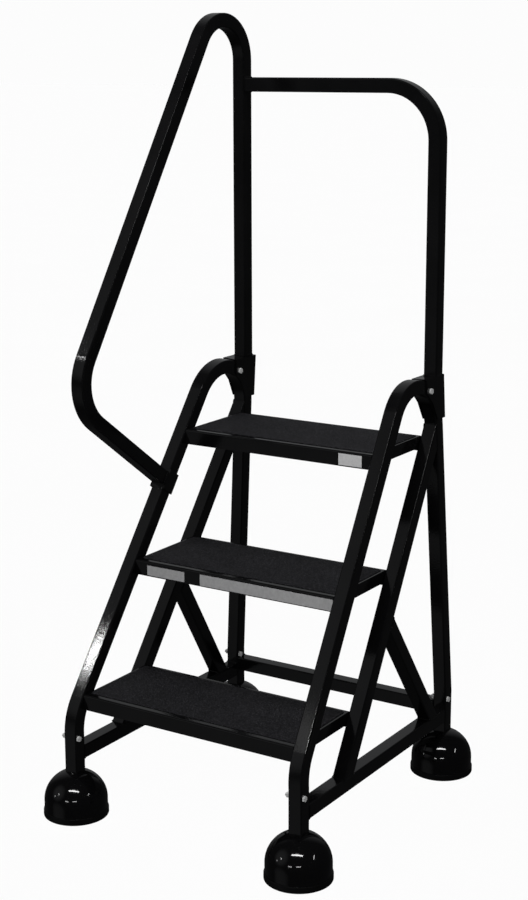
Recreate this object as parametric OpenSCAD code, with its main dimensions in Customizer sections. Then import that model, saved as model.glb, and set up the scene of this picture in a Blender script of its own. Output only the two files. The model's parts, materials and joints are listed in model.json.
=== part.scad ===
// Rolling library ladder: three steps and one handrail on bent square tube.
// Each foot is a domed cup with a rubber rim and a spring-loaded swivel caster inside.
// Millimetres. +X is to the right of someone about to climb, +Y is away from them, +Z is up.
// The wheels touch the floor at z = 0 and the rims hang a few millimetres above it.

/* [Frame tube] */
// Outside width of the square tube
tube = 31; // [22:0.2:38]
// Wall of the square tube
tube_wall = 2.0; // [1.2:0.1:3]
// Outside corner radius of the square tube
tube_corner = 3.2; // [1.5:0.1:6]
// Wall of the folded saddle brackets
plate = 3.0; // [2:0.5:5]

/* [Stance] */
// Left foot axis to right foot axis
foot_span_x = 553; // [420:1:760]
// Front foot axis to rear foot axis
foot_span_y = 616; // [480:1:800]
// How far each side frame leans inwards, in degrees
frame_lean = 2.88; // [0:0.01:6]
// Height at which the upright feet end and the side frame starts to lean
lean_height = 190; // [170:1:230]
// Lower ends of the legs, inside the cups
leg_bottom = 96; // [80:1:120]

/* [Side frame] */
// Slope of the front rail from upright, in degrees
rail_slope = 34.2; // [25:0.1:45]
// Height at which the front leg's centre line meets the front rail's
rail_foot = 226.5; // [200:0.5:260]
// Forward lean of the rear leg, in degrees
rear_slope = 1.01; // [0:0.01:4]
// Centre line radius of the arch over the top step
arch_radius = 99; // [70:1:130]
// Centre line radius of the front leg's bend
leg_bend_radius = 110; // [60:1:160]
// Front rail centre line to inner rail centre line, level
rail_gap = 217; // [180:1:280]
// Height of the base rails' centre line
base_rail_z = 140.5; // [120:0.5:180]
// Height of the rear cross bar's centre line
cross_bar_z = 154.6; // [130:0.5:200]
// Slope of the brace from level, in degrees
brace_slope = 56.3; // [40:0.1:75]
// Where the brace's centre line meets the top of the base rail, behind the front leg
brace_foot_y = 541; // [420:1:570]

/* [Steps] */
// Height of the lowest step's sheet
first_step = 269; // [220:1:310]
// Rise from one step to the next
step_rise = 254; // [200:1:305]
// Depth of a step, front to back
step_depth = 222; // [180:1:260]
// Depth of a step's front flange
step_flange = 32; // [20:1:50]
// Sheet thickness of a step
step_sheet = 2.0; // [1.2:0.1:3]
// Thickness of the ribbed tread mat
mat_thick = 2.6; // [1.5:0.1:5]

/* [Handrail] */
// Left post to right post, centre to centre
post_span = 486; // [400:1:600]
// Posts' centre line behind the front feet
post_y = 604; // [560:1:640]
// Slope of the handrail from upright, in degrees
handrail_slope = 32.12; // [20:0.01:45]
// Where the sloping handrail's centre line would cross the front feet's plane
handrail_zero_z = 895.6; // [850:0.1:1050]
// Centre line radius of the handrail's top bend
handrail_top_radius = 84.5; // [60:1:130]
// Centre line radius of the handrail's lower bend
handrail_low_radius = 103; // [60:1:150]
// Slope of the lower arm from level, in degrees
arm_slope = 36.45; // [20:0.05:55]
// Height at which the arm's centre line would cross the front feet's plane
arm_zero_z = 894.3; // [800:0.1:980]
// How far the handrail's plane is turned outwards at the front, in degrees
handrail_toe = 1.84; // [0:0.01:4]
// Height of the back rail's centre line
back_rail_z = 1512.2; // [1300:0.1:1700]
// Centre line radius of the back rail's corner
back_rail_radius = 114; // [60:1:160]
// Length of the front saddle along the rail
rail_saddle = 46; // [30:1:80]

/* [Feet] */
// Outside radius of the domed cup
cup_radius = 67; // [50:0.5:90]
// Top of the cup above the floor
cup_top = 102; // [95:1:140]
// Height at which the cup's straight wall turns into the dome
cup_shoulder = 38; // [25:1:70]
// Sheet thickness of the cup
cup_sheet = 2.4; // [1.5:0.1:4]
// Clearance from the rubber rim to the floor with nobody on the ladder
rim_clearance = 4.4; // [2:0.1:9]
// Height of the rubber rim
rim_height = 14; // [8:0.5:24]
// Outside radius of the caster tyre
wheel_radius = 25; // [18:0.5:32]
// Width of the caster tyre
wheel_width = 20; // [14:0.5:26]
// Distance from the caster's swivel axis to its axle
caster_trail = 17; // [8:0.5:24]
// Radius of the caster stem
stem_radius = 5.5; // [4:0.1:8]

/* [Hidden] */
$fn = 64;
snug = 0.1; // gap between welded neighbours
run = 0.05; // radial clearance of shafts and pins
mid = foot_span_y / 2;
foot_x = foot_span_x / 2;
post_x = post_span / 2;
half = tube / 2;

black_coat = [0.09, 0.09, 0.10];
gloss_black = [0.04, 0.04, 0.05];
charcoal = [0.24, 0.24, 0.26];
zinc = [0.74, 0.75, 0.76];
rubber_black = [0.07, 0.07, 0.07];
label_grey = [0.45, 0.46, 0.47];

// Level half width of a tube that slopes like the front rail.
rail_level_half = half / cos(rail_slope);
// Front rail centre line at a height.
function rail_y(z) = (z - rail_foot) * tan(rail_slope);
// Rear leg centre line at a height, above the lean.
function leg_y(z) = foot_span_y - (z - lean_height) * tan(rear_slope);
// Where the side frame's centre plane is at a height.
function frame_x(z) = foot_x - (z - lean_height) * tan(frame_lean);

// The arch joins the front rail and the rear leg.
arch_turn = 180 - rail_slope - rear_slope;
arch_tangent = arch_radius * tan(arch_turn / 2);
arch_apex_z = (foot_span_y + lean_height * tan(rear_slope) + rail_foot * tan(rail_slope))
    / (tan(rail_slope) + tan(rear_slope));
arch_end_z = arch_apex_z - arch_tangent * cos(rear_slope);
arch_centre_y = leg_y(arch_end_z) - arch_radius * cos(rear_slope);
arch_centre_z = arch_end_z - arch_radius * sin(rear_slope);

// Saddle caps that hold the posts on the arches.
cap_front_y = 545;
cap_under_z = arch_centre_z + sqrt(pow(arch_radius + half, 2) - pow(cap_front_y - arch_centre_y, 2)) + 0.3;
cap_bottom_z = 812.5;
cap_rear_y = leg_y(cap_bottom_z) + half / cos(rear_slope) + 0.4;
cap_bolt_y = arch_centre_y + 53;
cap_bolt_z = arch_centre_z + sqrt(pow(arch_radius, 2) - pow(53, 2));
post_foot_z = cap_under_z + plate + snug;

// Handrail corner points, in its own plane.
handrail_low_y = (arm_zero_z - handrail_zero_z) / (1 / tan(handrail_slope) + tan(arm_slope));
handrail_low_z = arm_zero_z - handrail_low_y * tan(arm_slope);
handrail_apex_z = handrail_zero_z + post_y / tan(handrail_slope);
handrail_top_turn = 180 - handrail_slope;
handrail_low_turn = 90 + handrail_slope - arm_slope;
handrail_top_tangent = handrail_top_radius * tan(handrail_top_turn / 2);
handrail_low_tangent = handrail_low_radius * tan(handrail_low_turn / 2);
handrail_slope_length = (post_y - handrail_low_y) / sin(handrail_slope);
// The arm's centre line meets the front rail's here.
saddle_z = (arm_zero_z + rail_foot * tan(rail_slope) * tan(arm_slope))
    / (1 + tan(rail_slope) * tan(arm_slope));
saddle_y = rail_y(saddle_z);
arm_length = (saddle_y - handrail_low_y) / cos(arm_slope) - half - plate - 1.6;

// Feet.
rim_top = rim_clearance + rim_height;
cup_rise = cup_top - cup_shoulder;
seat_under = leg_bottom - plate - snug;
stem_collar_top = 66;
stem_collar = 3;
fork_top = 60;
fork_plate = 3;
leg_bolt_z = 177;
leg_bolt_y = -7;
bolt_radius = 3.2;
bolt_head_flats = 11.1;
bolt_head_height = 4.2;
nut_height = 5.6;
spring_radius = 10.5;
spring_wire = 1.2;
spring_turns = 4.5;
spring_steps = 20;
spring_sides = 8;

feet = [
    ["fl", -1, 0],
    ["fr", 1, 0],
    ["rl", -1, foot_span_y],
    ["rr", 1, foot_span_y]
];

// ---------- square tube ----------

// Corner points of a square with rounded corners.
function rounded_square(size, radius, steps) = [
    for (corner = [0:3])
        for (i = [0:steps])
            let (turn = corner * 90 + i * 90 / steps)
            let (cx = (size / 2 - radius) * (corner == 0 || corner == 3 ? 1 : -1))
            let (cy = (size / 2 - radius) * (corner < 2 ? 1 : -1))
            [cx + radius * cos(turn), cy + radius * sin(turn)]
];

// A bend's wall is drawn a hair thinner than the straight's, so that its ends tuck into the straights.
module tube_section(thin = 0) {
    difference() {
        polygon(rounded_square(tube - 2 * thin, tube_corner - thin, 4));
        polygon(rounded_square(tube - 2 * tube_wall + 2 * thin, tube_corner - tube_wall + thin, 2));
    }
}

module tube_bend(turn, radius) {
    tuck = 0.4;
    rotate([0, 0, -tuck]) rotate_extrude(angle = turn + 2 * tuck, $fn = 96) translate([radius, 0]) tube_section(0.02);
}

// A run of tube that starts upwards in the YZ plane.
// Each leg is [straight length, turn towards +Y in degrees, bend radius].
module tube_run(legs, i = 0) {
    if (i < len(legs)) {
        straight = legs[i][0];
        turn = legs[i][1];
        radius = legs[i][2];
        side = turn < 0 ? -1 : 1;
        if (straight > 0) {
            linear_extrude(straight) tube_section();
        }
        translate([0, side * radius, straight]) {
            if (turn != 0) {
                rotate([90, 0, -90 * side]) tube_bend(abs(turn), radius);
            }
            rotate([-turn, 0, 0]) translate([0, -side * radius, 0]) tube_run(legs, i + 1);
        }
    }
}

module on_side(side) {
    mirror([side < 0 ? 1 : 0, 0, 0]) children();
}

// Puts an upright side frame, drawn at x = 0, in its leaning plane.
module leaning() {
    translate([foot_x, -mid, lean_height]) rotate([0, -frame_lean, 0]) translate([0, 0, -lean_height]) children();
}

// Everything above or below the mitre where the upright feet meet the leaning frame.
// The feet reach a hair past it, inside the wall above.
module above_mitre() {
    translate([foot_x, -mid, lean_height]) rotate([0, -frame_lean / 2, 0]) translate([-200, -200, 0]) cube([400, 1100, 1000]);
}

module below_mitre() {
    translate([foot_x, -mid, lean_height]) rotate([0, -frame_lean / 2, 0]) translate([-200, -200, -400]) cube([400, 1100, 400.4]);
}

// A hole across a tube, along X.
module cross_hole(y, z, radius) {
    translate([-60, y, z]) rotate([0, 90, 0]) cylinder(r = radius, h = 120);
}

// ---------- side frames ----------

// Front leg, front rail, arch and rear leg, bent from one length.
module side_frame_run() {
    bend_tangent = leg_bend_radius * tan(rail_slope / 2);
    rail_length = (arch_apex_z - rail_foot) / cos(rail_slope) - bend_tangent - arch_tangent;
    translate([0, 0, leg_bottom]) tube_run([
        [rail_foot - bend_tangent - leg_bottom, rail_slope, leg_bend_radius],
        [rail_length, arch_turn, arch_radius],
        [(arch_end_z - lean_height) / cos(rear_slope) + 40, 0, 0]
    ]);
}

module side_tube(side) {
    color(black_coat) on_side(side) {
        difference() {
            union() {
                intersection() {
                    leaning() side_frame_run();
                    above_mitre();
                }
                intersection() {
                    union() {
                        translate([foot_x, -mid, leg_bottom]) linear_extrude(110) tube_section(0.03);
                        translate([foot_x, mid, leg_bottom]) linear_extrude(110) tube_section(0.03);
                    }
                    below_mitre();
                }
            }
            leaning() cross_hole(cap_bolt_y, cap_bolt_z, bolt_radius + 0.2);
            translate([foot_x, -mid, 0]) cross_hole(leg_bolt_y, leg_bolt_z, bolt_radius + 0.2);
            translate([foot_x, mid, 0]) cross_hole(leg_bolt_y, leg_bolt_z, bolt_radius + 0.2);
        }
    }
}

// Runs beside the front rail from the base rail up to the rear leg, behind the steps.
module inner_rail(side) {
    start_z = base_rail_z - 60;
    color(black_coat) on_side(side) difference() {
        leaning() difference() {
            translate([0, rail_y(start_z) + rail_gap, start_z]) rotate([-rail_slope, 0, 0]) linear_extrude(980) tube_section();
            translate([0, leg_y(lean_height) - half / cos(rear_slope) - 0.3, lean_height]) rotate([rear_slope, 0, 0])
                translate([-100, 0, -300]) cube([200, 400, 1300]);
        }
        translate([foot_x - 100, -mid - 100, base_rail_z + half + snug - 400]) cube([200, 900, 400]);
    }
}

module base_rail(side) {
    color(black_coat) on_side(side)
        translate([foot_x, -mid + half + snug, base_rail_z]) rotate([-90, 0, 0]) linear_extrude(foot_span_y - tube - 2 * snug) tube_section();
}

// Slopes from the back of the inner rail down to the top of the base rail.
module brace(side) {
    foot_z = base_rail_z + half + snug;
    color(black_coat) on_side(side) difference() {
        leaning() difference() {
            translate([0, brace_foot_y, foot_z]) rotate([90 - brace_slope, 0, 0]) translate([0, 0, -60]) linear_extrude(460) tube_section();
            translate([0, rail_y(rail_foot) + rail_gap + rail_level_half + snug, rail_foot]) rotate([-rail_slope, 0, 0])
                translate([-100, -200, -300]) cube([200, 200, 1200]);
        }
        translate([foot_x - 100, -mid + 300, foot_z - 400]) cube([200, 500, 400]);
    }
}

module rear_cross_bar() {
    inside = foot_x - half - snug;
    color(black_coat) translate([-inside, mid, cross_bar_z]) rotate([90, 0, 90]) linear_extrude(2 * inside) tube_section();
}

// ---------- steps ----------

function step_z(level) = first_step + level * step_rise;
// A step's front edge is flush with the front face of the front rails.
function step_front(level) = rail_y(step_z(level)) - rail_level_half - mid;
function step_half(level) = frame_x(step_z(level)) - half / cos(frame_lean) - snug;

// Outline of a folded channel, open below, from its front face back.
function channel_outline(depth, height, radius) = concat(
    [[0, -height]],
    [for (i = [0:6]) [radius - radius * cos(i * 15), -radius + radius * sin(i * 15)]],
    [for (i = [0:6]) [depth - radius + radius * sin(i * 15), -radius + radius * cos(i * 15)]],
    [[depth, -height]]
);

module step_pan(level) {
    lip = 11;
    side_flange = 26;
    half_width = step_half(level);
    inner_depth = step_depth - 2 * step_sheet;
    color(black_coat) translate([0, step_front(level), step_z(level)]) {
        difference() {
            translate([-half_width, 0, 0]) rotate([90, 0, 90]) linear_extrude(2 * half_width)
                polygon(channel_outline(step_depth, step_flange, 4.5));
            translate([-half_width - 1, step_sheet, -step_sheet]) rotate([90, 0, 90]) linear_extrude(2 * half_width + 2)
                polygon(channel_outline(inner_depth, step_flange - 2 * step_sheet, 2.5));
            translate([-half_width - 1, lip, -step_flange - 1]) cube([2 * half_width + 2, step_depth - 2 * lip, 4]);
        }
        for (side = [-1, 1]) {
            translate([side * (half_width - step_sheet / 2) - step_sheet / 2, step_sheet, -side_flange])
                cube([step_sheet, inner_depth, side_flange - step_sheet]);
        }
    }
}

module step_mat(level) {
    front_gap = 9;
    rear_gap = 12;
    side_gap = 5;
    groove_pitch = 12;
    groove = 0.6;
    width = 2 * (step_half(level) - side_gap);
    depth = step_depth - front_gap - rear_gap;
    color(charcoal) translate([-width / 2, step_front(level) + front_gap, step_z(level) + 0.02]) difference() {
        cube([width, depth, mat_thick]);
        for (y = [groove_pitch:groove_pitch:depth - 4]) {
            translate([-1, y, mat_thick - groove]) cube([width + 2, 1.6, 1]);
        }
    }
}

// Blank plates on the step fronts: two on the middle step and a small one on the top step.
// Each is [step, left edge, width, height, drop below the tread].
module label_plates() {
    plate_thick = 0.5;
    color(label_grey) {
        for (spec = [[1, -214, 96, 21.5, 8], [1, -78, 321, 24, 6], [2, 154, 55, 24.5, 5]]) {
            translate([spec[1], step_front(spec[0]) - plate_thick - 0.02, step_z(spec[0]) - spec[4] - spec[3]])
                cube([spec[2], plate_thick, spec[3]]);
        }
    }
}

// ---------- handrail ----------

// One length of tube: the left post, the top bend, the sloping rail, the lower bend and the arm.
module left_handrail() {
    color(black_coat) translate([-post_x, post_y - mid, 0]) rotate([0, 0, -handrail_toe]) translate([0, 0, post_foot_z]) tube_run([
        [handrail_apex_z - handrail_top_tangent - post_foot_z, -handrail_top_turn, handrail_top_radius],
        [handrail_slope_length - handrail_top_tangent - handrail_low_tangent, -handrail_low_turn, handrail_low_radius],
        [arm_length - handrail_low_tangent, 0, 0]
    ]);
}

// Level from the left post, round a corner and down as the right post.
module back_rail() {
    color(black_coat) translate([post_x, post_y - mid, post_foot_z]) rotate([0, 0, 90]) tube_run([
        [back_rail_z - back_rail_radius - post_foot_z, 90, back_rail_radius],
        [post_span - back_rail_radius - half - 0.7, 0, 0]
    ]);
}

// A folded cap over the shoulder of the arch: a top plate that carries the post, two cheeks and a rear web.
module post_cap(side) {
    inside = half + snug;
    outside = inside + plate;
    color(black_coat) on_side(side) leaning() difference() {
        union() {
            translate([-outside, 0, 0]) rotate([90, 0, 90]) linear_extrude(2 * outside) polygon([
                [cap_rear_y + plate, cap_bottom_z],
                [cap_rear_y + plate, cap_under_z + plate],
                [cap_front_y, cap_under_z + plate],
                [cap_front_y, cap_under_z - 28],
                [cap_front_y + 24, cap_under_z - 52],
                [cap_rear_y - tube, cap_bottom_z]
            ]);
        }
        translate([-inside, cap_front_y - 50, cap_bottom_z - 10]) cube([2 * inside, cap_rear_y - cap_front_y + 50, cap_under_z - cap_bottom_z + 10]);
        cross_hole(cap_bolt_y, cap_bolt_z, bolt_radius + 0.2);
    }
}

// A folded saddle round the front of the left front rail, where the handrail's arm is welded on.
module rail_saddle_bracket() {
    inside = half + snug;
    outside = inside + plate;
    color(black_coat) on_side(-1) leaning() translate([0, saddle_y, saddle_z]) rotate([-rail_slope, 0, 0]) difference() {
        translate([-outside, -outside, -rail_saddle / 2]) cube([2 * outside, outside + half + 1.5, rail_saddle]);
        translate([-inside, -inside, -rail_saddle]) cube([2 * inside, tube * 2, 2 * rail_saddle]);
    }
}

// ---------- bolts ----------

// A hexagon bolt along X with its nut; the head is on the +X side.
module cross_bolt(grip) {
    across = bolt_head_flats / cos(30);
    rotate([0, 90, 0]) {
        translate([0, 0, -grip / 2 - nut_height - 4]) cylinder(r = bolt_radius, h = grip + nut_height + 4.05);
        translate([0, 0, grip / 2 + 0.05]) cylinder(d = across, h = bolt_head_height, $fn = 6);
        difference() {
            translate([0, 0, -grip / 2 - nut_height - 0.05]) cylinder(d = across, h = nut_height, $fn = 6);
            translate([0, 0, -grip / 2 - nut_height - 1]) cylinder(r = bolt_radius + run, h = nut_height + 2);
        }
    }
}

module post_cap_bolts() {
    color(zinc) for (side = [-1, 1]) {
        on_side(side) leaning() translate([0, cap_bolt_y, cap_bolt_z]) mirror([side < 0 ? 1 : 0, 0, 0])
            cross_bolt(tube + 2 * plate + 2 * snug);
    }
}

module leg_bolts() {
    color(zinc) for (foot = feet) {
        translate([foot[1] * foot_x, foot[2] - mid + leg_bolt_y, leg_bolt_z]) cross_bolt(tube);
    }
}

// ---------- feet ----------

module at_foot(foot) {
    translate([foot[1] * foot_x, foot[2] - mid, 0]) children();
}

// Half outline of a dome on a short straight wall.
function dome_outline(radius, bottom, shoulder, rise) = concat(
    [[0, bottom], [radius, bottom], [radius, shoulder]],
    [for (i = [1:17]) [radius * cos(i * 5), shoulder + rise * sin(i * 5)]],
    [[0, shoulder + rise]]
);

module cup(foot) {
    hole = tube + 0.4;
    color(gloss_black) at_foot(foot) difference() {
        rotate_extrude() polygon(dome_outline(cup_radius, rim_top - 8, cup_shoulder, cup_rise));
        rotate_extrude() polygon(dome_outline(cup_radius - cup_sheet, rim_top - 9, cup_shoulder, cup_rise - cup_sheet));
        translate([0, 0, cup_top - 40]) linear_extrude(80) polygon(rounded_square(hole, tube_corner, 4));
    }
}

// A rubber rim with a slot that the cup's edge sits in.
module rim(foot) {
    outer = cup_radius + 2;
    inner = cup_radius - cup_sheet - 2.2;
    color(rubber_black) at_foot(foot) difference() {
        rotate_extrude() polygon([
            [inner, rim_clearance + 1.5],
            [inner + 1.5, rim_clearance],
            [outer - 2, rim_clearance],
            [outer - 0.6, rim_clearance + 0.6],
            [outer, rim_clearance + 2],
            [outer, rim_top - 1.5],
            [outer - 0.5, rim_top - 0.4],
            [outer - 1.5, rim_top],
            [inner, rim_top]
        ]);
        translate([0, 0, rim_top - 8.1]) difference() {
            cylinder(r = cup_radius + 0.05, h = 20);
            translate([0, 0, -1]) cylinder(r = cup_radius - cup_sheet - 0.05, h = 30);
        }
    }
}

// A flanged sleeve inside the leg: it guides the caster stem and seats the spring.
module socket(foot) {
    sleeve = half - tube_wall - 0.2;
    color(zinc) at_foot(foot) difference() {
        union() {
            translate([0, 0, seat_under]) cylinder(r = 20, h = plate);
            translate([0, 0, seat_under + plate]) cylinder(r = sleeve, h = 98);
        }
        translate([0, 0, seat_under - 1]) cylinder(r = stem_radius + run, h = 74);
        cross_hole(leg_bolt_y, leg_bolt_z, bolt_radius + 0.2);
    }
}

// Plunger stem with a collar for the spring and a riveted neck for the fork.
module stem(foot) {
    color(zinc) at_foot(foot) {
        translate([0, 0, stem_collar_top]) cylinder(r = stem_radius, h = 84);
        translate([0, 0, stem_collar_top - stem_collar]) cylinder(r = 14, h = stem_collar);
        translate([0, 0, fork_top + 0.15]) cylinder(r = 8.5, h = stem_collar_top - stem_collar - fork_top - 0.15);
        translate([0, 0, fork_top - fork_plate - 0.3]) cylinder(r = 4.5, h = fork_plate + 0.6);
        translate([0, 0, fork_top - fork_plate - 3.3]) cylinder(r = 7, h = 3.15);
    }
}

// Points round one ring of the spring's wire.
function wire_ring(angle, z) = [
    for (i = [0:spring_sides - 1])
        let (turn = i * 360 / spring_sides)
        let (out = spring_radius + spring_wire * cos(turn))
        [out * cos(angle), out * sin(angle), z + spring_wire * sin(turn)]
];

// Height along the spring: the first and last turns lie flat.
function coil_height(share, low, high) = low + (high - low) * max(0, min(1, (share * spring_turns - 0.6) / (spring_turns - 1.2)));

module caster_spring(foot) {
    low = stem_collar_top + spring_wire + 0.05;
    high = seat_under - spring_wire - 0.05;
    rings = spring_turns * spring_steps;
    points = [
        for (i = [0:rings])
            each wire_ring(i * 360 / spring_steps, coil_height(i / rings, low, high) + 0.02 * i / rings)
    ];
    sides = [
        for (i = [0:rings - 1])
            for (j = [0:spring_sides - 1])
                let (k = (j + 1) % spring_sides)
                [i * spring_sides + j, (i + 1) * spring_sides + j, (i + 1) * spring_sides + k, i * spring_sides + k]
    ];
    first_end = [for (j = [0:spring_sides - 1]) j];
    last_end = [for (j = [spring_sides - 1:-1:0]) rings * spring_sides + j];
    color(zinc) at_foot(foot) polyhedron(points = points, faces = concat(sides, [first_end, last_end]));
}

// Two cheeks under a top plate. The axle trails behind the swivel.
module fork(foot) {
    cheek = 2.5;
    cheek_in = wheel_width / 2 + 2;
    top = fork_top;
    color(zinc) at_foot(foot) difference() {
        union() {
            translate([-cheek_in - cheek, -15, top - fork_plate]) cube([2 * (cheek_in + cheek), 30, fork_plate]);
            for (side = [-1, 1]) {
                translate([side * (cheek_in + cheek / 2) - cheek / 2, 0, 0]) rotate([90, 0, 90]) linear_extrude(cheek) polygon([
                    [-15, top - fork_plate / 2],
                    [-15, top - 12],
                    [caster_trail - 9, wheel_radius - 3],
                    [caster_trail - 6, wheel_radius - 8],
                    [caster_trail + 6, wheel_radius - 8],
                    [caster_trail + 9, wheel_radius - 3],
                    [caster_trail + 4, top - 16],
                    [15, top - 6],
                    [15, top - fork_plate / 2]
                ]);
            }
        }
        translate([0, 0, top - fork_plate - 1]) cylinder(r = 4.5 + run, h = fork_plate + 2);
        cross_hole(caster_trail, wheel_radius, 3 + run);
    }
}

module wheel(foot) {
    rim_radius = wheel_radius - 6;
    color(gloss_black) at_foot(foot) translate([-wheel_width / 2, caster_trail, wheel_radius]) rotate([0, 90, 0]) difference() {
        union() {
            cylinder(r = rim_radius - run, h = wheel_width);
            translate([0, 0, -1.2]) cylinder(r = 7, h = wheel_width + 2.4);
        }
        translate([0, 0, -2]) cylinder(r = 3 + run, h = wheel_width + 4);
        for (face = [-1, wheel_width - 3.5]) {
            translate([0, 0, face]) difference() {
                cylinder(r = rim_radius - 3, h = 4.5);
                translate([0, 0, -1]) cylinder(r = 8.5, h = 7);
            }
        }
    }
}

module tyre(foot) {
    rim_radius = wheel_radius - 6;
    color(rubber_black) at_foot(foot) translate([-wheel_width / 2, caster_trail, wheel_radius]) rotate([0, 90, 0]) rotate_extrude() polygon([
        [rim_radius, 0],
        [wheel_radius - 2.5, 0],
        [wheel_radius - 0.8, 1],
        [wheel_radius, 3],
        [wheel_radius, wheel_width - 3],
        [wheel_radius - 0.8, wheel_width - 1],
        [wheel_radius - 2.5, wheel_width],
        [rim_radius, wheel_width]
    ]);
}

// Axle bolt through the fork, with its head on +X and a nut on -X.
module axle(foot) {
    outside = wheel_width / 2 + 4.5;
    across = 10 / cos(30);
    color(zinc) at_foot(foot) translate([0, caster_trail, wheel_radius]) rotate([0, 90, 0]) {
        translate([0, 0, -outside - 6]) cylinder(r = 3, h = 2 * outside + 6.05);
        translate([0, 0, outside + 0.05]) cylinder(d = across, h = 4, $fn = 6);
        difference() {
            translate([0, 0, -outside - 4.55]) cylinder(d = across, h = 4.5, $fn = 6);
            translate([0, 0, -outside - 5]) cylinder(r = 3 + run, h = 6);
        }
    }
}

// ---------- nodes ----------

side_tube(-1);  // left_side_tube
side_tube(1);  // right_side_tube
inner_rail(-1);  // left_inner_rail
inner_rail(1);  // right_inner_rail
base_rail(-1);  // left_base_rail
base_rail(1);  // right_base_rail
brace(-1);  // left_brace
brace(1);  // right_brace
rear_cross_bar();
step_pan(0);  // bottom_step_pan
step_pan(1);  // middle_step_pan
step_pan(2);  // top_step_pan
step_mat(0);  // bottom_step_mat
step_mat(1);  // middle_step_mat
step_mat(2);  // top_step_mat
left_handrail();
back_rail();
post_cap(-1);  // left_post_cap
post_cap(1);  // right_post_cap
rail_saddle_bracket();
post_cap_bolts();
leg_bolts();
label_plates();
cup(feet[0]);  // fl_cup
rim(feet[0]);  // fl_rim
socket(feet[0]);  // fl_socket
caster_spring(feet[0]);  // fl_spring
stem(feet[0]);  // fl_stem
fork(feet[0]);  // fl_fork
wheel(feet[0]);  // fl_wheel
tyre(feet[0]);  // fl_tyre
axle(feet[0]);  // fl_axle
cup(feet[1]);  // fr_cup
rim(feet[1]);  // fr_rim
socket(feet[1]);  // fr_socket
caster_spring(feet[1]);  // fr_spring
stem(feet[1]);  // fr_stem
fork(feet[1]);  // fr_fork
wheel(feet[1]);  // fr_wheel
tyre(feet[1]);  // fr_tyre
axle(feet[1]);  // fr_axle
cup(feet[2]);  // rl_cup
rim(feet[2]);  // rl_rim
socket(feet[2]);  // rl_socket
caster_spring(feet[2]);  // rl_spring
stem(feet[2]);  // rl_stem
fork(feet[2]);  // rl_fork
wheel(feet[2]);  // rl_wheel
tyre(feet[2]);  // rl_tyre
axle(feet[2]);  // rl_axle
cup(feet[3]);  // rr_cup
rim(feet[3]);  // rr_rim
socket(feet[3]);  // rr_socket
caster_spring(feet[3]);  // rr_spring
stem(feet[3]);  // rr_stem
fork(feet[3]);  // rr_fork
wheel(feet[3]);  // rr_wheel
tyre(feet[3]);  // rr_tyre
axle(feet[3]);  // rr_axle
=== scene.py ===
"""Looks for a rolling library ladder.

Black square tube, gritty treads, a handrail loop and domed caster feet. Everything is in metres in the
ladder's own frame: +X to the climber's right, +Y away from them, +Z up, floor at z = 0.
"""

import json
import math
import random

import bpy
from mathutils import Matrix, Vector


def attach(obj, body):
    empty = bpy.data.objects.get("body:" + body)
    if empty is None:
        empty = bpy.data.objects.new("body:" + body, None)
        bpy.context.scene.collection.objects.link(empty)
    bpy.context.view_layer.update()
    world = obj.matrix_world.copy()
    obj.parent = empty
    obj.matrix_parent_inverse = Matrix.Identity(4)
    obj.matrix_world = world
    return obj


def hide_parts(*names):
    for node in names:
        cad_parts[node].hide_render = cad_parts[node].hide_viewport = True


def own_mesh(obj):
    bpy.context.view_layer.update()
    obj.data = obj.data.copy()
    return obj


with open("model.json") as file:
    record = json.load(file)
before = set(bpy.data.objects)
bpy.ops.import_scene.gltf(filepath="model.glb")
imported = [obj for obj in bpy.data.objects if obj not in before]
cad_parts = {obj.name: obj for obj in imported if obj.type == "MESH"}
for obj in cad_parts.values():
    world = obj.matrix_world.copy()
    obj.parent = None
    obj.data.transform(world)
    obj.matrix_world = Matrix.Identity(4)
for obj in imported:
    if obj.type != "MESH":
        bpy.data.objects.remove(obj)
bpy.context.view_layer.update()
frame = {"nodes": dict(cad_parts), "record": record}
nodes = frame["nodes"]
random.seed(11)

FEET = {"fl": (-1, -1), "fr": (1, -1), "rl": (-1, 1), "rr": (1, 1)}
MM = 0.001

# The part's own sizes, in millimetres. Heights are above the floor.
HALF = 15.5  # half of the square tube's width
CORNER = 3.2  # the tube's outer corner radius
FOOT_X = 276.5  # side frames' feet, out from the middle
MID = 308.0  # front feet to the middle, front to back
LEAN = math.radians(2.88)  # inward lean of the side frames, above LEAN_Z
LEAN_Z = 190.0
RAIL_SLOPE = math.radians(34.2)  # front rails, from upright
RAIL_FOOT = 226.5
REAR_SLOPE = math.radians(1.01)  # rear legs, from upright
RAIL_GAP = 217.0  # front rail to inner rail, along Y
BASE_MID = 140.5
BASE_TOP = BASE_MID + HALF
BRACE_SLOPE = math.radians(56.3)
BRACE_FOOT_Y = 541.0
CROSS_BAR_Z = 154.6
POST_X = 243.0
POST_Y = 604.0
POST_FOOT_Z = 906.66
BACK_RAIL_Z = 1512.2
TOE = math.radians(1.84)  # outward turn of the handrail's plane
ARM_SLOPE = math.radians(36.45)  # the handrail's lower arm, from level
ARM_ZERO_Z = 894.3  # height of the arm's centre line, carried forward to y = 0
CUP_R = 67.0
CUP_SHOULDER = 38.0
CUP_TOP = 102.0
CUP_SHEET = 2.4
RIM_Z = 4.4
RIM_TOP = 18.4
CUP_EDGE_Z = RIM_TOP - 7.6  # the cup's lower edge, inside the rim's slot
SPRING_LOW = 66.0
SPRING_HIGH = 92.9
WELD = 1.3  # bead radius
WELD_WIDE = 1.5
CLEAR = 0.1  # how far a bead's line stands off the face it lies on
SADDLE_OUT = 3.4  # from the rail's face to just outside its saddle
RAIL_END_GAP = 0.35  # from the post's face to halfway across the gap at the back rail's end
MAT_SETBACK = 0.007  # metres
MAT_CORNER = 0.006  # metres


# ---------------------------------------------------------------- materials


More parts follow.
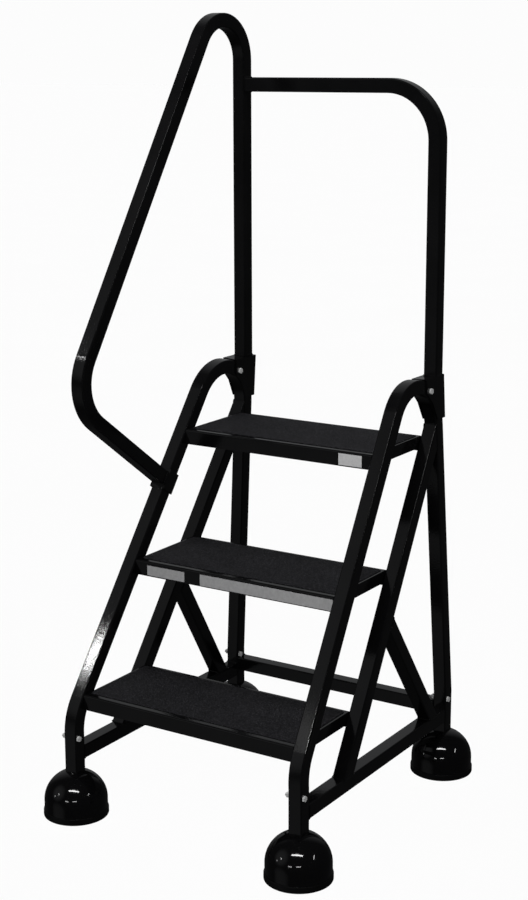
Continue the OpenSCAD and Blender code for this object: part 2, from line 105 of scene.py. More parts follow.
def shader(name):
    """A new material with its node tree, its principled shader and the object's own coordinates."""
    mat = bpy.data.materials.new(name)
    mat.use_nodes = True
    tree = mat.node_tree
    tree.nodes.clear()
    out = tree.nodes.new("ShaderNodeOutputMaterial")
    bsdf = tree.nodes.new("ShaderNodeBsdfPrincipled")
    tree.links.new(bsdf.outputs["BSDF"], out.inputs["Surface"])
    coords = tree.nodes.new("ShaderNodeTexCoord").outputs["Object"]
    return mat, tree, bsdf, coords


def noise(tree, coords, scale, detail=3.0, rough=0.55, stretch=None):
    """Noise in metres: scale is features per metre."""
    if stretch:
        mapping = tree.nodes.new("ShaderNodeMapping")
        mapping.inputs["Scale"].default_value = stretch
        tree.links.new(coords, mapping.inputs["Vector"])
        coords = mapping.outputs["Vector"]
    n = tree.nodes.new("ShaderNodeTexNoise")
    n.inputs["Scale"].default_value = scale
    n.inputs["Detail"].default_value = detail
    n.inputs["Roughness"].default_value = rough
    tree.links.new(coords, n.inputs["Vector"])
    return n.outputs["Fac"]


def cells(tree, coords, scale):
    """Distance to the nearest of scattered points, scale of them per metre."""
    v = tree.nodes.new("ShaderNodeTexVoronoi")
    v.feature = "F1"
    v.inputs["Scale"].default_value = scale
    tree.links.new(coords, v.inputs["Vector"])
    return v.outputs["Distance"]


def ramp(tree, fac, stops):
    """A straight-line map through stops of (input, grey value)."""
    r = tree.nodes.new("ShaderNodeValToRGB")
    while len(r.color_ramp.elements) < len(stops):
        r.color_ramp.elements.new(0.5)
    for e, (at, value) in zip(r.color_ramp.elements, stops):
        e.position = at
        e.color = (value, value, value, 1)
    tree.links.new(fac, r.inputs["Fac"])
    return r.outputs["Color"]


def math_node(tree, kind, a, b):
    """A math node of the given kind on two inputs, each a number or another node's output."""
    m = tree.nodes.new("ShaderNodeMath")
    m.operation = kind
    for socket, value in zip(m.inputs, (a, b)):
        if isinstance(value, (int, float)):
            socket.default_value = value
        else:
            tree.links.new(value, socket)
    return m.outputs[0]


def mix_colour(tree, fac, a, b):
    """Colour a where fac is 0, b where it is 1. Each is a plain value or another node's output."""
    m = tree.nodes.new("ShaderNodeMix")
    m.data_type = "RGBA"
    # Inputs 0, 6 and 7 are the factor and the two colours of an RGBA mix.
    for socket, value in ((m.inputs[0], fac), (m.inputs[6], a), (m.inputs[7], b)):
        if isinstance(value, tuple):
            socket.default_value = (*value, 1)
        elif isinstance(value, (int, float)):
            socket.default_value = value
        else:
            tree.links.new(value, socket)
    return m.outputs[2]


def two_tone(tree, fac, low, high, a, b):
    """Colour a where fac is under low, b where it is over high."""
    return mix_colour(tree, ramp(tree, fac, [(low, 0.0), (high, 1.0)]), a, b)


def roughness(tree, bsdf, fac, stops):
    """Lets fac set the shader's roughness."""
    tree.links.new(ramp(tree, fac, stops), bsdf.inputs["Roughness"])


def bumps(tree, bsdf, layers):
    """Stacks bump nodes. Each layer is (height, depth in metres, strength)."""
    normal = None
    for height, depth, strength in layers:
        b = tree.nodes.new("ShaderNodeBump")
        b.inputs["Distance"].default_value = depth
        b.inputs["Strength"].default_value = strength
        tree.links.new(height, b.inputs["Height"])
        if normal is not None:
            tree.links.new(normal, b.inputs["Normal"])
        normal = b.outputs["Normal"]
    tree.links.new(normal, bsdf.inputs["Normal"])


def powder_coat():
    """Semi-gloss black powder coat: a fine orange peel, soft handling marks and a few dusty specks."""
    mat, tree, bsdf, co = shader("black_powder_coat")
    cloud = noise(tree, co, 9, 4, 0.6)
    base = two_tone(tree, cloud, 0.35, 0.7, (0.0023, 0.0023, 0.0025), (0.0040, 0.0040, 0.0043))
    speck = ramp(tree, noise(tree, co, 700, 2, 0.5), [(0.70, 0.0), (0.76, 1.0)])
    base = mix_colour(tree, math_node(tree, "MULTIPLY", speck, 0.25), base, (0.05, 0.05, 0.052))
    tree.links.new(base, bsdf.inputs["Base Color"])
    smear = noise(tree, co, 26, 5, 0.65, (1, 1, 0.35))
    roughness(tree, bsdf, smear, [(0.3, 0.075), (0.55, 0.10), (0.8, 0.15)])
    bsdf.inputs["IOR"].default_value = 1.5
    peel = noise(tree, co, 330, 2, 0.5)
    fine = noise(tree, co, 1500, 2, 0.6)
    bumps(tree, bsdf, [(peel, 0.00020, 0.7), (fine, 0.00002, 0.6)])
    return mat


def tread_mat():
    """Charcoal rubber with a close grit and worn, dustier patches where feet land."""
    mat, tree, bsdf, co = shader("charcoal_tread")
    grain = cells(tree, co, 380)
    blotch = noise(tree, co, 260, 2, 0.6)
    fine = noise(tree, co, 1900, 3, 0.7)
    worn = noise(tree, co, 7, 4, 0.6, (1, 2, 1))
    base = two_tone(tree, worn, 0.35, 0.75, (0.0150, 0.0148, 0.0168), (0.0220, 0.0216, 0.0243))
    sparkle = ramp(tree, grain, [(0.0, 1.0), (0.38, 0.0)])
    base = mix_colour(tree, math_node(tree, "MULTIPLY", sparkle, 0.75), base, (0.105, 0.105, 0.113))
    base = mix_colour(tree, ramp(tree, blotch, [(0.42, 0.75), (0.6, 0.0)]), base, (0.003, 0.003, 0.0035))
    tree.links.new(base, bsdf.inputs["Base Color"])
    roughness(tree, bsdf, fine, [(0.3, 0.72), (0.75, 0.95)])
    bsdf.inputs["IOR"].default_value = 1.45
    bumps(tree, bsdf, [(grain, 0.0006, 0.7), (fine, 0.00025, 0.6)])
    return mat


def cup_gloss():
    """High-gloss black enamel with a slight wave, fine dust and hairline scuffs near the floor."""
    mat, tree, bsdf, co = shader("cup_gloss_black")
    dust = ramp(tree, noise(tree, co, 900, 2, 0.6), [(0.66, 0.0), (0.78, 1.0)])
    dust = math_node(tree, "MULTIPLY", dust, 0.15)
    base = mix_colour(tree, dust, (0.0025, 0.0025, 0.0028), (0.04, 0.04, 0.04))
    tree.links.new(base, bsdf.inputs["Base Color"])
    scuff = noise(tree, co, 60, 6, 0.7, (1, 1, 6))
    roughness(tree, bsdf, scuff, [(0.35, 0.055), (0.62, 0.085), (0.8, 0.20)])
    bsdf.inputs["IOR"].default_value = 1.5
    wave = noise(tree, co, 45, 2, 0.4)
    fine = noise(tree, co, 700, 2, 0.5)
    bumps(tree, bsdf, [(wave, 0.00006, 0.35), (fine, 0.000008, 0.4)])
    return mat


def rubber(name, low, high, rough, scale):
    """Matt black rubber, its colour clouded between low and high."""
    mat, tree, bsdf, co = shader(name)
    cloud = noise(tree, co, scale, 5, 0.65)
    tree.links.new(two_tone(tree, cloud, 0.3, 0.75, low, high), bsdf.inputs["Base Color"])
    wear = noise(tree, co, scale * 6, 3, 0.6)
    roughness(tree, bsdf, wear, [(0.3, rough - 0.08), (0.75, rough + 0.12)])
    bsdf.inputs["IOR"].default_value = 1.45
    grain = noise(tree, co, 1100, 3, 0.6)
    wave = noise(tree, co, 160, 2, 0.5)
    bumps(tree, bsdf, [(grain, 0.00005, 0.6), (wave, 0.00008, 0.3)])
    return mat


def zinc_plate():
    """Bright zinc plating: faint cloudy passivation and fine turning marks."""
    mat, tree, bsdf, co = shader("bright_zinc")
    cloud = noise(tree, co, 140, 4, 0.6)
    base = two_tone(tree, cloud, 0.3, 0.7, (0.80, 0.81, 0.82), (0.94, 0.94, 0.92))
    tree.links.new(base, bsdf.inputs["Base Color"])
    bsdf.inputs["Metallic"].default_value = 0.4
    roughness(tree, bsdf, noise(tree, co, 420, 4, 0.6), [(0.3, 0.22), (0.75, 0.40)])
    bumps(tree, bsdf, [(noise(tree, co, 1400, 2, 0.5, (5, 1, 1)), 0.00002, 0.4)])
    return mat


def nylon():
    """Black moulded nylon, slightly uneven in gloss."""
    mat, tree, bsdf, co = shader("black_nylon")
    cloud = noise(tree, co, 60, 4, 0.6)
    base = mix_colour(tree, cloud, (0.012, 0.012, 0.013), (0.024, 0.024, 0.026))
    tree.links.new(base, bsdf.inputs["Base Color"])
    roughness(tree, bsdf, noise(tree, co, 300, 3, 0.6), [(0.3, 0.38), (0.8, 0.55)])
    bumps(tree, bsdf, [(noise(tree, co, 1600, 2, 0.5), 0.00003, 0.5)])
    return mat


def blank_film():
    """Blank label film: mid grey on the middle step and nearly white on the top step, a little scuffed."""
    mat, tree, bsdf, co = shader("blank_film")
    split = tree.nodes.new("ShaderNodeSeparateXYZ")
    tree.links.new(co, split.inputs[0])
    top_step = math_node(tree, "GREATER_THAN", split.outputs[2], 0.65)
    scuff = noise(tree, co, 130, 5, 0.7)
    grey = two_tone(tree, scuff, 0.3, 0.7, (0.42, 0.42, 0.425), (0.55, 0.55, 0.555))
    pale = two_tone(tree, scuff, 0.3, 0.7, (0.66, 0.66, 0.67), (0.80, 0.80, 0.80))
    tree.links.new(mix_colour(tree, top_step, grey, pale), bsdf.inputs["Base Color"])
    roughness(tree, bsdf, scuff, [(0.3, 0.35), (0.75, 0.55)])
    bumps(tree, bsdf, [(noise(tree, co, 500, 2, 0.5), 0.00002, 0.5)])
    return mat


COAT = powder_coat()
TREAD = tread_mat()
GLOSS = cup_gloss()
RIM = rubber("rim_rubber", (0.0022, 0.0022, 0.0024), (0.0045, 0.0045, 0.0048), 0.45, 30)
TYRE = rubber("tyre_rubber", (0.012, 0.012, 0.012), (0.03, 0.029, 0.028), 0.68, 55)
ZINC = zinc_plate()
NYLON = nylon()
FILM = blank_film()

LOOK = {
    "black_coat": COAT,
    "tread": TREAD,
    "zinc": ZINC,
    "cup_gloss": GLOSS,
    "rim_rubber": RIM,
    "tyre_rubber": TYRE,
    "wheel_core": NYLON,
    "label": FILM,
}
slot_of = {s["node"]: s["material_slot"] for s in frame["record"]["subparts"]}


# ---------------------------------------------------------------- CAD nodes


def crisp(obj, angle):
    """Splits edges sharper than angle, in degrees, and weights the normals by face area."""
    split = obj.modifiers.new("EdgeSplit", "EDGE_SPLIT")
    split.split_angle = math.radians(angle)
    split.use_edge_sharp = False
    normals = obj.modifiers.new("Normals", "WEIGHTED_NORMAL")
    normals.keep_sharp = True
    return normals


def dress(obj, mat, bevel):
    """Gives a CAD node its material and clean shading: flat faces stay flat and rounded edges stay round."""
    obj.data.materials.clear()
    obj.data.materials.append(mat)
    obj.data.shade_smooth()
    if obj.data.has_custom_normals:
        bpy.context.view_layer.objects.active = obj
        bpy.ops.mesh.customdata_custom_splitnormals_clear()
    weld = obj.modifiers.new("Weld", "WELD")
    weld.merge_threshold = 2e-6
    if bevel:
        b = obj.modifiers.new("Bevel", "BEVEL")
        b.width = bevel
        b.segments = 2
        b.limit_method = "ANGLE"
        b.angle_limit = math.radians(40)
    crisp(obj, 32).weight = 70


for name, obj in nodes.items():
    hexed = name.endswith("_bolts") or name.endswith("_axle")
    dress(obj, LOOK[slot_of[name]], bevel=0.0004 if hexed else 0.0)


# ---------------------------------------------------------------- mesh tools


def piece(name, verts, faces, mat, angle=None):
    """A new mesh piece with its vertices, in metres, in the ladder's frame."""
    mesh = bpy.data.meshes.new(name)
    mesh.from_pydata([tuple(v) for v in verts], [], faces)
    mesh.validate()
    mesh.materials.append(mat)
    obj = bpy.data.objects.new(name, mesh)
    bpy.context.scene.collection.objects.link(obj)
    mesh.shade_smooth()
    if angle:
        crisp(obj, angle)
    return obj


def ring_faces(a, b, n):
    """Quads between two closed rings of n points that start at indices a and b."""
    return [(a + i, a + (i + 1) % n, b + (i + 1) % n, b + i) for i in range(n)]


def rounded_square(half, corner, steps, flat):
    """Points round a square with round corners. flat adds that many points along each side."""
    pts = []
    for k in range(4):
        cx = (half - corner) * (1 if k in (0, 3) else -1)
        cy = (half - corner) * (1 if k < 2 else -1)
        for i in range(steps + 1):
            t = math.radians(k * 90 + i * 90 / steps)
            pts.append((cx + corner * math.cos(t), cy + corner * math.sin(t)))
        nx = (half - corner) * (1 if (k + 1) % 4 in (0, 3) else -1)
        ny = (half - corner) * (1 if (k + 1) % 4 < 2 else -1)
        t = math.radians((k + 1) * 90)
        (x0, y0), (x1, y1) = pts[-1], (nx + corner * math.cos(t), ny + corner * math.sin(t))
        for j in range(1, flat + 1):
            pts.append((x0 + (x1 - x0) * j / (flat + 1), y0 + (y1 - y0) * j / (flat + 1)))
    return pts


# ---------------------------------------------------------------- weld beads


def rail_y(z):
    """Where a front rail's centre line is at height z, in the side frame's drawing."""
    return (z - RAIL_FOOT) * math.tan(RAIL_SLOPE)


def leg_y(z):
    """Where a rear leg's centre line is at height z, in the side frame's drawing."""
    return 2 * MID - (z - LEAN_Z) * math.tan(REAR_SLOPE)


def leaned(p):
    """From the right side frame's drawing to its leaning plane."""
    x, z = p[0], p[2] - LEAN_Z
    out = FOOT_X + x * math.cos(LEAN) - z * math.sin(LEAN)
    up = LEAN_Z + x * math.sin(LEAN) + z * math.cos(LEAN)
    return Vector((out, p[1] - MID, up))


def lean_way(v):
    """A direction in the side frame's drawing, turned into its leaning plane."""
    return leaned(v) - leaned((0, 0, 0))


def footprint(origin, axis, across, plane_point, plane_normal):
    """Where a square tube's outside meets a plane."""
    grow = 0.2  # how far outside the tube's own faces the line runs
    axis = Vector(axis).normalized()
    u = Vector(across).normalized()
    v = axis.cross(u)
    o, p, n = Vector(origin), Vector(plane_point), Vector(plane_normal)
    pts = []
    for a, b in rounded_square(HALF + grow, CORNER, 5, 14):
        q = o + u * a + v * b
        pts.append(q + axis * ((p - q).dot(n) / axis.dot(n)))
    return pts


def bead(path, radius, verts, faces):
    """A closed weld bead along path, rippled like a row of overlapping coins."""
    sides = 8
    n = len(path)
    centre = sum(path, Vector()) / n
    run = 0.0
    rings = []
    phase = random.uniform(0, 6)
    for i, p in enumerate(path):
        ahead, behind = path[(i + 1) % n], path[i - 1]
        t = (ahead - behind).normalized()
        out = p - centre
        out = (out - t * out.dot(t)).normalized()
        up = t.cross(out)
        ripple = 1 + 0.12 * math.sin(run / 0.8 + phase) + random.uniform(-0.03, 0.03)
        r = radius * ripple
        turns = [2 * math.pi * k / sides for k in range(sides)]
        rings.append([p + out * (r * math.cos(t)) + up * (r * math.sin(t)) for t in turns])
        run += (ahead - p).length
    base = len(verts)
    for ring in rings:
        verts.extend(q * MM for q in ring)
    for i in range(n):
        a, b = base + i * sides, base + (i + 1) % n * sides
        faces.extend(ring_faces(a, b, sides))


def saddle_height():
    """The height at which the handrail's arm meets the left front rail, in the side frame's drawing."""
    rise = math.tan(RAIL_SLOPE) * math.tan(ARM_SLOPE)
    return (ARM_ZERO_Z + RAIL_FOOT * rise) / (1 + rise)


def mirrored(v):
    """The same point or direction on the ladder's other side."""
    return Vector((-v.x, v.y, v.z))


def weld_beads():
    """The runs of weld where tubes meet, all in one piece."""
    verts, faces = [], []
    up, back, x = (0, 0, 1), (0, 1, 0), (1, 0, 0)
    slope = (0, math.sin(RAIL_SLOPE), math.cos(RAIL_SLOPE))
    brace = (0, -math.cos(BRACE_SLOPE), math.sin(BRACE_SLOPE))
    rear = lean_way((0, math.cos(REAR_SLOPE), math.sin(REAR_SLOPE)))
    behind = lean_way((0, math.cos(RAIL_SLOPE), -math.sin(RAIL_SLOPE)))
    across = lean_way(x)
    inner = leaned((0, rail_y(400) + RAIL_GAP, 400))
    brace_foot = leaned((0, BRACE_FOOT_Y, BASE_TOP + CLEAR))
    deck = (0, 0, BASE_TOP + CLEAR)
    leg_face = leaned((0, leg_y(LEAN_Z) - HALF / math.cos(REAR_SLOPE) - CLEAR, LEAN_Z))
    rail_face = leaned((0, RAIL_GAP + HALF / math.cos(RAIL_SLOPE) + CLEAR, RAIL_FOOT))
    loops = []
    for y in (-MID + HALF + CLEAR, MID - HALF - CLEAR):
        loops.append(footprint((FOOT_X, y, BASE_MID), back, x, (0, y, 0), back))
    loops.append(footprint(inner, lean_way(slope), across, deck, up))
    loops.append(footprint(inner, lean_way(slope), across, leg_face, rear))
    loops.append(footprint(brace_foot, lean_way(brace), across, deck, up))
    loops.append(footprint(brace_foot, lean_way(brace), across, rail_face, behind))
    end = FOOT_X - HALF - CLEAR
    loops.append(footprint((end, MID, CROSS_BAR_Z), x, back, (end, 0, 0), x))
    for right in loops:
        bead(right, WELD, verts, faces)
        bead([mirrored(p) for p in reversed(right)], WELD, verts, faces)
    for side in (-1, 1):
        foot = Vector((side * POST_X, POST_Y - MID, POST_FOOT_Z))
        bead(footprint(foot, up, x, foot, up), WELD, verts, faces)
    end = Vector((-POST_X + HALF + RAIL_END_GAP, POST_Y - MID, BACK_RAIL_Z))
    bead(footprint(end, x, back, end, x), WELD_WIDE, verts, faces)
    # The handrail's arm meets the saddle on the left front rail.
    turn = Matrix.Rotation(-TOE, 3, "Z")
    post = Vector((-POST_X, POST_Y - MID, 0))
    saddle_z = saddle_height()
    on_rail = mirrored(leaned((0, rail_y(saddle_z), saddle_z)))
    normal = mirrored(behind)
    axis = turn @ Vector((0, math.cos(ARM_SLOPE), -math.sin(ARM_SLOPE)))
    arm_y = 200  # any point of the arm will do
    start = post + turn @ Vector((0, arm_y - POST_Y, ARM_ZERO_Z - arm_y * math.tan(ARM_SLOPE)))
    saddle_face = on_rail - normal * (HALF + SADDLE_OUT)
    bead(footprint(start, axis, turn @ Vector(x), saddle_face, normal), WELD_WIDE, verts, faces)
    obj = piece("weld_beads", verts, faces, COAT)
    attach(obj, "ladder_frame")


weld_beads()


# ---------------------------------------------------------------- treads


def tread_mats():
    """Thin mats with eased edges, set back from the front so that the painted lip of each step shows."""
    arc = 7  # points round each corner
    n = 4 * arc
    # The mat's edge from bottom to top, as (inset, height) in metres.
    edge = ((0.0, 0.0), (0.0, 0.0009), (0.0003, 0.0013), (0.0009, 0.0015))
    for step in ("bottom", "middle", "top"):
        node = nodes[step + "_step_mat"]
        corners = [node.matrix_world @ Vector(c) for c in node.bound_box]
        lo = Vector([min(c[i] for c in corners) for i in range(3)])
        hi = Vector([max(c[i] for c in corners) for i in range(3)])
        lo.y += MAT_SETBACK
        verts, faces = [], []
        for inset, z in edge:
            radius = MAT_CORNER - inset
            for k in range(4):
                cx = hi.x - MAT_CORNER if k in (0, 3) else lo.x + MAT_CORNER
                cy = hi.y - MAT_CORNER if k < 2 else lo.y + MAT_CORNER
                for i in range(arc):
                    t = math.radians(k * 90 + i * 90 / (arc - 1))
                    verts.append((cx + radius * math.cos(t), cy + radius * math.sin(t), lo.z + z))
        for k in range(len(edge) - 1):
            faces.extend(ring_faces(k * n, (k + 1) * n, n))
        faces.append(tuple(reversed(range(n))))
        faces.append(tuple(range((len(edge) - 1) * n, len(edge) * n)))
        obj = piece(step + "_grip_mat", verts, faces, TREAD, angle=35)
        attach(obj, "ladder_frame")
        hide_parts(step + "_step_mat")


tread_mats()


# ---------------------------------------------------------------- feet


def lathe(rings, centre, name, mat, angle):
    """A closed skin from rings of points, each ring a function of the angle that gives (radius, height)."""
    n = 144
    verts, faces = [], []
    for ring in rings:
        for i in range(n):
            t = 2 * math.pi * i / n
            r, z = ring(t)
            verts.append(Vector((centre[0] + r * math.cos(t), centre[1] + r * math.sin(t), z)) * MM)
    for k in range(len(rings)):
        faces.extend(ring_faces(k * n, (k + 1) % len(rings) * n, n))
    return piece(name, verts, faces, mat, angle=angle)


def circle(r, z):
    """A round ring for lathe()."""
    return lambda t: (r, z)


def square_edge(t, half, corner):
    """Distance from the centre to a rounded square's edge in direction t."""
    t = t % (math.pi / 2)
    t = min(t, math.pi / 2 - t)
    straight = half / math.cos(t)
    if straight * math.sin(t) <= half - corner:
        return straight
    c = half - corner
    b = c * (math.cos(t) + math.sin(t))
    return b + math.sqrt(max(0, b * b - (2 * c * c - corner * corner)))


def dome_rings(radius, rise):
    """From the cup's lower edge, up the wall and over the dome, to the square hole for the leg."""
    hole = HALF + 0.25
    crown = 25  # inside this radius the rings change from round to square
    steps = 30
    rings = [circle(radius, z) for z in (CUP_EDGE_Z, CUP_EDGE_Z + 1, 20, 28, CUP_SHOULDER - 2)]
    last = math.acos(crown / radius)
    for i in range(steps + 1):
        a = last * i / steps
        rings.append(circle(radius * math.cos(a), CUP_SHOULDER + rise * math.sin(a)))
    for share in (0.35, 0.7, 0.93, 1.0):

        def blend(t, share=share):
            r = crown + (square_edge(t, hole, CORNER) - crown) * share
            return r, CUP_SHOULDER + rise * math.sqrt(max(0, 1 - (r / radius) ** 2))

        rings.append(blend)
    return rings


def rim_profile():
    """The rubber rim's section as (radius, height): a rounded foot, and a slot that holds the cup's edge."""
    out, inn = CUP_R + 2, CUP_R - CUP_SHEET - 2.2
    slot_out, slot_in = CUP_R + 0.04, CUP_R - CUP_SHEET - 0.04
    slot_floor = RIM_TOP - 8.05
    return [
        (inn, RIM_Z + 1.6),
        (inn + 0.5, RIM_Z + 0.5),
        (inn + 1.6, RIM_Z),
        (out - 2.4, RIM_Z),
        (out - 1.3, RIM_Z + 0.25),
        (out - 0.5, RIM_Z + 0.8),
        (out, RIM_Z + 2),
        (out, RIM_Z + 6),
        (out, RIM_TOP - 4),
        (out, RIM_TOP - 1.6),
        (out - 0.2, RIM_TOP - 0.8),
        (out - 0.7, RIM_TOP - 0.2),
        (out - 1.3, RIM_TOP),
        (slot_out, RIM_TOP),
        (slot_out, slot_floor),
        (slot_in, slot_floor),
        (slot_in, RIM_TOP),
        (inn + 0.4, RIM_TOP),
        (inn, RIM_TOP - 0.4),
    ]


def feet():
    """The four feet: domed cup, rubber rim and coil spring. Fork, wheel and tyre are the CAD's own."""
    outer = dome_rings(CUP_R, CUP_TOP - CUP_SHOULDER)
    inner = dome_rings(CUP_R - CUP_SHEET, CUP_TOP - CUP_SHOULDER - CUP_SHEET)
    rim_rings = [circle(r, z) for r, z in rim_profile()]
    for foot, (sx, sy) in FEET.items():
        centre = (sx * FOOT_X, sy * MID)
        cup = lathe(outer + inner[::-1], centre, foot + "_dome", GLOSS, 40)
        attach(cup, "ladder_frame")
        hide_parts(foot + "_cup")
        rim = lathe(rim_rings, centre, foot + "_lip", RIM, 50)
        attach(rim, "ladder_frame")
        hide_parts(foot + "_rim")
        spring(foot, centre)


def spring(foot, centre):
    """The caster's coil spring, with closed ends."""
    turns, radius, wire, steps, sides = 4.5, 10.5, 1.2, 40, 12
    closed = 0.6  # turns at each end that don't climb
    low, high = SPRING_LOW + wire + 0.05, SPRING_HIGH - wire - 0.05
    n = int(turns * steps)
    verts, faces = [], []
    for i in range(n + 1):
        share = max(0, min(1, (i / n * turns - closed) / (turns - 2 * closed)))
        z = low + (high - low) * share
        t = 2 * math.pi * i / steps
        for k in range(sides):
            a = 2 * math.pi * k / sides
            r = radius + wire * math.cos(a)
            x, y = centre[0] + r * math.cos(t), centre[1] + r * math.sin(t)
            verts.append(Vector((x, y, z + wire * math.sin(a))) * MM)
    for i in range(n):
        faces.extend(tuple(reversed(f)) for f in ring_faces(i * sides, (i + 1) * sides, sides))
    faces.append(tuple(range(sides)))
    faces.append(tuple(n * sides + k for k in reversed(range(sides))))
    obj = piece(foot + "_coil", verts, faces, ZINC, angle=60)
    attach(obj, "ladder_frame")
    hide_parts(foot + "_spring")
    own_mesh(obj)


feet()


# ---------------------------------------------------------------- stage


def floor():
    """A wide pale floor. The ladder doesn't reflect it, so that only the lights shape its reflections."""
    mat, tree, bsdf, co = shader("pale_floor")
    cloud = noise(tree, co, 1.5, 3, 0.5)
    pale = mix_colour(tree, cloud, (0.90, 0.90, 0.90), (0.91, 0.91, 0.91))
    tree.links.new(pale, bsdf.inputs["Base Color"])
    bsdf.inputs["Roughness"].default_value = 0.9
    bsdf.inputs["Specular IOR Level"].default_value = 0.0
    size = 90
    mesh = bpy.data.meshes.new("floor")
    corners = [(x * size, y * size, 0) for x, y in ((-1, -1), (1, -1), (1, 1), (-1, 1))]
    mesh.from_pydata(corners, [], [(0, 1, 2, 3)])
    mesh.materials.append(mat)
    obj = bpy.data.objects.new("floor", mesh)
    bpy.context.scene.collection.objects.link(obj)
    obj.visible_glossy = False
    obj.visible_diffuse = False
    return obj


ground = floor()


def toward(start, azimuth, elevation, distance):
    """A point seen from start: azimuth from -Y towards +X, in degrees."""
    a, e = math.radians(azimuth), math.radians(elevation)
    way = Vector((math.sin(a) * math.cos(e), -math.cos(a) * math.cos(e), math.sin(e)))
    return Vector(start) + way * distance


# Soft glows in the room that the ladder reflects: azimuth, elevation and reach in degrees, radiance.
GLOWS = ((-40, 26, 30, 0.19), (-146, 28, 50, 0.21), (-30, -26, 28, 0.09))
ROOM_BASE = 0.022


def backdrop():
    """White behind the object. What the ladder reflects is a dim room with three soft glows."""
    world = bpy.data.worlds.new("studio")
    bpy.context.scene.world = world
    world.use_nodes = True
    tree = world.node_tree
    tree.nodes.clear()
    out = tree.nodes.new("ShaderNodeOutputWorld")
    path = tree.nodes.new("ShaderNodeLightPath")
    mix = tree.nodes.new("ShaderNodeMixShader")
    room = tree.nodes.new("ShaderNodeBackground")
    white = tree.nodes.new("ShaderNodeBackground")
    way = tree.nodes.new("ShaderNodeTexCoord").outputs["Generated"]
    total = ROOM_BASE
    for azimuth, elevation, reach, radiance in GLOWS:
        dot = tree.nodes.new("ShaderNodeVectorMath")
        dot.operation = "DOT_PRODUCT"
        tree.links.new(way, dot.inputs[0])
        dot.inputs[1].default_value = toward((0, 0, 0), azimuth, elevation, 1)
        glow = tree.nodes.new("ShaderNodeMapRange")
        glow.interpolation_type = "SMOOTHSTEP"
        glow.inputs["From Min"].default_value = math.cos(math.radians(reach))
        glow.inputs["From Max"].default_value = 1.0
        glow.inputs["To Max"].default_value = radiance
        tree.links.new(dot.outputs["Value"], glow.inputs["Value"])
        total = math_node(tree, "ADD", glow.outputs[0], total)
    tree.links.new(total, room.inputs["Strength"])
    room.inputs["Color"].default_value = (0.97, 0.985, 1.0, 1)
    white.inputs["Color"].default_value = (0.975, 0.975, 0.975, 1)
    white.inputs["Strength"].default_value = 1.0
    tree.links.new(path.outputs["Is Camera Ray"], mix.inputs[0])
    tree.links.new(room.outputs[0], mix.inputs[1])
    tree.links.new(white.outputs[0], mix.inputs[2])
    tree.links.new(mix.outputs[0], out.inputs["Surface"])
    world.cycles_visibility.diffuse = False


backdrop()


def only(name, *objects):
    """A light group: a light given this collection as its receivers reaches only these objects."""
    group = bpy.data.collections.new(name)
    for obj in objects:
        group.objects.link(bpy.data.objects[obj])
    return group


only_floor = only("lit_floor", ground.name)
not_floor = only("lit_ladder", ground.name)
for member in not_floor.collection_objects:
    member.light_linking.link_state = "EXCLUDE"
near_cups = only("lit_cups", "fl_dome", "fr_dome", "rr_dome")
left_rail = only("lit_rail", "left_side_tube")
hand_rail = only("lit_handrail", "left_handrail")
right_rail = only("lit_right_rail", "right_side_tube")
bolts = only("lit_bolts", "post_cap_bolts", "leg_bolts")


def area(name, at, aim, width, height, radiance, reach=not_floor, diffuse=True, glossy=True, roll=0.0):
    """An area light whose face has the given radiance, so its size can change without its brightness."""
    data = bpy.data.lights.new(name, "AREA")
    data.shape = "RECTANGLE"
    data.size, data.size_y = width, height
    data.energy = radiance * width * height * math.pi
    obj = bpy.data.objects.new(name, data)
    bpy.context.scene.collection.objects.link(obj)
    at, aim = Vector(at), Vector(aim)
    spin = Matrix.Rotation(math.radians(roll), 3, "Z").to_quaternion()
    obj.rotation_mode = "QUATERNION"
    obj.rotation_quaternion = (aim - at).to_track_quat("-Z", "Y") @ spin
    obj.location = at
    obj.visible_camera = False
    obj.visible_diffuse = diffuse
    obj.visible_glossy = glossy
    obj.light_linking.receiver_collection = reach


def lamp(name, start, azimuth, elevation, wide, tall, radiance, reach, roll=0.0):
    """A far-off lamp that only shows as a reflection. Its size is given in degrees."""
    far = 14
    at = toward(start, azimuth, elevation, far)
    size = [2 * far * math.tan(math.radians(v / 2)) for v in (wide, tall)]
    area(name, at, start, *size, radiance, reach, diffuse=False, roll=roll)


def near_lamp(name, start, azimuth, elevation, aim, wide, tall, radiance, reach):
    """A lamp 0.9 m from start, sized in metres, that only shows as a short reflection near aim."""
    at = toward(start, azimuth, elevation, 0.9)
    area(name, at, aim, wide, tall, radiance, reach, diffuse=False)


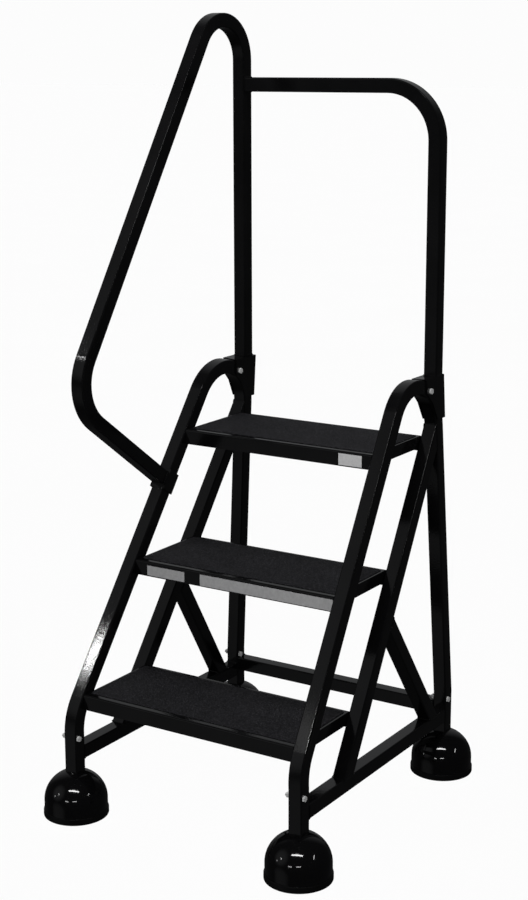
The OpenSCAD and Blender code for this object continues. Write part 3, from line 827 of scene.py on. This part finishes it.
def lights():
    """Fills that give diffuse light only, lamps that only show as reflections, and a light for the bolts."""
    middle = (0, 0, 0.75)
    area("overhead", (0.1, -0.5, 3.1), (0, 0.1, 0.4), 2.0, 1.6, 5.3, glossy=False)
    area("front_fill", (0.9, -3.3, 0.9), (0, 0, 0.4), 2.0, 1.6, 3.9, glossy=False)
    area("right_fill", (3.4, -0.6, 1.6), (0, 0, 0.6), 1.6, 1.6, 2.6, glossy=False)
    area("back_right", (2.6, 3.4, 2.6), middle, 2.0, 2.0, 1.6, glossy=False)
    area("back_left", (-3.2, 3.2, 1.2), middle, 2.0, 2.0, 4.0, glossy=False)
    dome = (0.2765, -0.36, 0.08)
    lamp("strip_high", dome, 24, 53, 36, 4.5, 26, near_cups)
    lamp("strip_left", dome, -38, 23, 5, 1.3, 26, near_cups, roll=-55)
    lamp("strip_left_low", dome, -50, 11, 2.2, 1.3, 20, near_cups, roll=-60)
    lamp("strip_right", dome, 96, 31, 14, 1.6, 20, near_cups, roll=40)
    lamp("strip_low_a", dome, 2, 10.5, 12, 1.4, 20, near_cups)
    lamp("strip_low_b", dome, 31, 13, 14, 1.4, 24, near_cups)
    lamp("edge_glint", middle, 24, 53, 12, 4.5, 5, not_floor)
    rail = (-0.263, -0.245, 0.335)
    near_lamp("rail_glint", rail, -42.2, 35.2, rail, 0.026, 0.085, 120, left_rail)
    bend = (0.281, -0.284, 0.287)
    near_lamp("edge_glint_near", (0.281, -0.350, 0.189), 19.6, 49.8, bend, 0.05, 0.07, 90, right_rail)
    near_lamp("rail_sheen", bend, -40, 35, bend, 0.16, 0.11, 0.55, right_rail)
    lamp("bend_glint", (-0.2635, -0.2744, 0.977), -52.4, 33.6, 2.0, 0.7, 70, hand_rail)
    area("bolt_fill", (2.4, -2.2, 2.2), middle, 0.5, 0.5, 14, bolts)
    wash_floor()


def wash_floor():
    """An even light on the floor alone, with no shadow."""
    sun = bpy.data.lights.new("floor_wash", "SUN")
    sun.energy = 3.39
    sun.use_shadow = False
    sun.cycles.use_multiple_importance_sampling = False
    sun.angle = math.radians(70)
    wash = bpy.data.objects.new("floor_wash", sun)
    bpy.context.scene.collection.objects.link(wash)
    wash.light_linking.receiver_collection = only_floor


lights()


def camera():
    """The view: from the front right, just under the height of the handrail's top."""
    data = bpy.data.cameras.new("camera")
    data.lens = 67.68
    data.sensor_width = 36
    data.shift_x = -0.0014
    data.shift_y = -0.0095
    data.clip_start, data.clip_end = 0.05, 300
    cam = bpy.data.objects.new("camera", data)
    bpy.context.scene.collection.objects.link(cam)
    turns = ((32.53, "Z"), (77.30, "X"), (-0.11, "Z"))
    heading, tilt, roll = (Matrix.Rotation(math.radians(degrees), 4, axis) for degrees, axis in turns)
    cam.matrix_world = Matrix.Translation((1.8581, -2.9059, 1.5644)) @ (heading @ tilt @ roll)
    bpy.context.scene.camera = cam


camera()
bpy.context.scene.view_settings.view_transform = "Standard"
bpy.context.scene.view_settings.look = "None"
